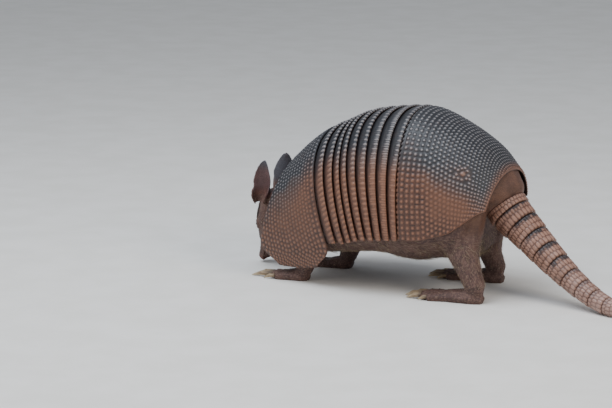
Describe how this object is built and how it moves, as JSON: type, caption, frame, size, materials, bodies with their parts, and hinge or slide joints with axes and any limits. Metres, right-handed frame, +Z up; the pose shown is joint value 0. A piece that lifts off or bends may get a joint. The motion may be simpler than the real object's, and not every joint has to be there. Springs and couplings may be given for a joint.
{
  "type": "nine-banded armadillo",
  "caption": "Life-size still model of an armadillo standing with its head down to the ground and its ringed tail trailing behind.",
  "frame": {"origin": "middle of the bounding box, on the floor the animal stands on", "axes": "+X from head to tail, +Z up; the animal's left side is at -Y"},
  "size_m": [0.5844, 0.162, 0.1954],
  "materials": {
    "shell": "hard horny plates, satin, dark along the back and tan on the flanks",
    "tail_armour": "hard horny rings, pinkish tan with dark grooves",
    "skin": "bare leathery skin with folds and small scales, thinner and pinkish in the ears",
    "eye": "dark and wet",
    "claw": "satin horn, paler to the tip"
  },
  "bodies": {
    "root": {"shield_scapular": "shell", "band_1": "shell", "band_2": "shell", "band_3": "shell", "band_4": "shell", "band_5": "shell", "band_6": "shell", "band_7": "shell", "band_8": "shell", "band_9": "shell", "shield_pelvic": "shell", "tail_ring_1": "tail_armour", "tail_ring_2": "tail_armour", "tail_ring_3": "tail_armour", "tail_ring_4": "tail_armour", "tail_ring_5": "tail_armour", "tail_ring_6": "tail_armour", "tail_ring_7": "tail_armour", "tail_ring_8": "tail_armour", "tail_ring_9": "tail_armour", "tail_ring_10": "tail_armour", "tail_ring_11": "tail_armour", "tail_ring_12": "tail_armour", "tail_tip": "tail_armour", "trunk": "skin", "head_shield": "shell", "head": "skin", "eye_left": "eye", "ear_left": "skin", "eye_right": "eye", "ear_right": "skin", "neck": "skin", "hindfoot_left": "skin", "hindleg_left": "skin", "claw_hind_left_1": "claw", "claw_hind_left_2": "claw", "claw_hind_left_3": "claw", "claw_hind_left_4": "claw", "claw_hind_left_5": "claw", "hindfoot_right": "skin", "hindleg_right": "skin", "claw_hind_right_1": "claw", "claw_hind_right_2": "claw", "claw_hind_right_3": "claw", "claw_hind_right_4": "claw", "claw_hind_right_5": "claw", "forefoot_left": "skin", "foreleg_left": "skin", "claw_fore_left_1": "claw", "claw_fore_left_2": "claw", "claw_fore_left_3": "claw", "claw_fore_left_4": "claw", "forefoot_right": "skin", "foreleg_right": "skin", "claw_fore_right_1": "claw", "claw_fore_right_2": "claw", "claw_fore_right_3": "claw", "claw_fore_right_4": "claw"}
  },
  "joints": []
}
